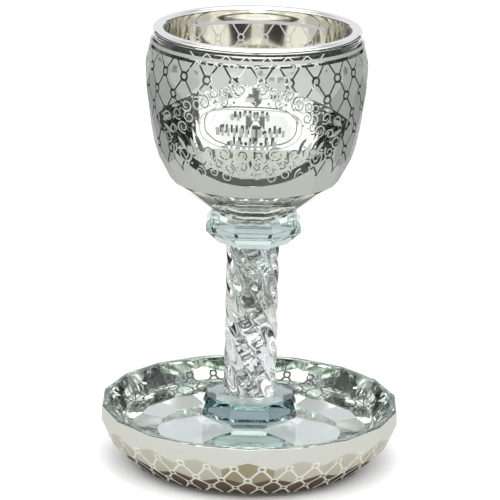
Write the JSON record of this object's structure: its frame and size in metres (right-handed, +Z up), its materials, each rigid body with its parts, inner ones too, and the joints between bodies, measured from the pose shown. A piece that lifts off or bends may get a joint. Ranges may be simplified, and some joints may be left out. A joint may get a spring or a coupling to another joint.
{
  "type": "kiddush cup with saucer",
  "caption": "Stemmed wine cup for blessings: facet-cut silvered glass bowl on a twisted fluted stem, standing in a thick facet-cut glass saucer.",
  "frame": {"origin": "centre of the saucer's flat underside, on the surface that the object stands on", "axes": "+Z up along the axis of the cup, -Y towards the front, where the medallion on the bowl faces"},
  "size_m": [0.1042, 0.1054, 0.1572],
  "materials": {
    "silvered_glass": "glass bowl with a mirror lining",
    "satin_lustre": "satin silver lustre fired on glass",
    "green_crystal": "cut and polished crystal, faintly green",
    "clear_crystal": "clear drawn crystal, fire polished",
    "crystal_stones": "small facet-cut crystal stones",
    "saucer_glass": "thick cut glass, silvered underneath"
  },
  "bodies": {
    "root": {"saucer": "saucer_glass", "foot": "green_crystal", "stem": "clear_crystal", "knop": "green_crystal", "bowl": "silvered_glass"}
  },
  "joints": []
}
